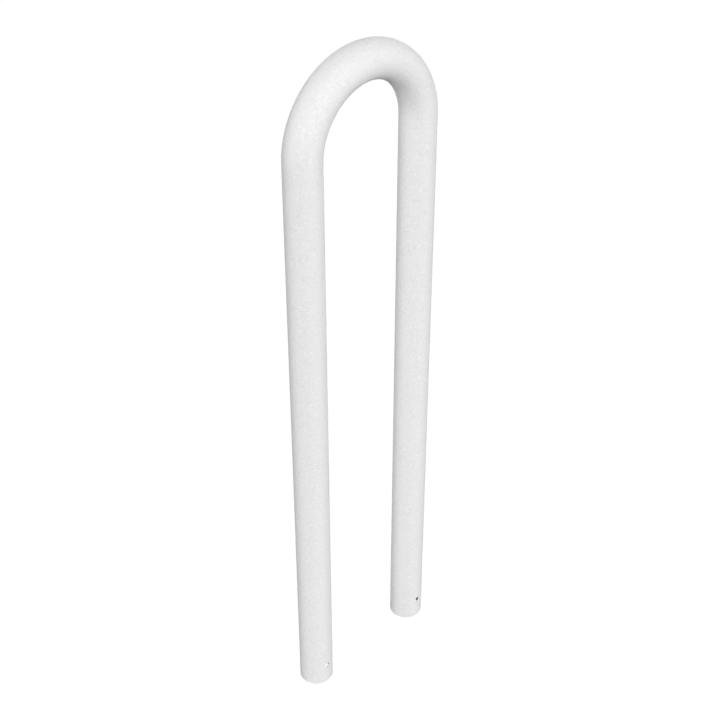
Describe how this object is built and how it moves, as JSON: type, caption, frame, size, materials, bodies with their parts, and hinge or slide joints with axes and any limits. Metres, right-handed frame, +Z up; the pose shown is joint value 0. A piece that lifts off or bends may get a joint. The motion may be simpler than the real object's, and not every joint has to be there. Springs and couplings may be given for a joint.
{
  "type": "hoop barrier",
  "caption": "Tall narrow hoop of round steel tube, set in the ground on its two legs to guard a door, kerb or cycle bay.",
  "frame": {"origin": "midway between the cut ends of the two legs, at the bottom of the hoop", "axes": "+X along the width of the hoop from the left leg to the right leg, +Y across the hoop to the back, +Z up along the legs"},
  "size_m": [0.3004, 0.0604, 1.2],
  "materials": {
    "white_coat": "white fine-textured powder coat over galvanised steel"
  },
  "bodies": {
    "root": {"left_leg": "white_coat", "right_leg": "white_coat", "top_bend": "white_coat", "left_weld": "white_coat", "right_weld": "white_coat"}
  },
  "joints": []
}
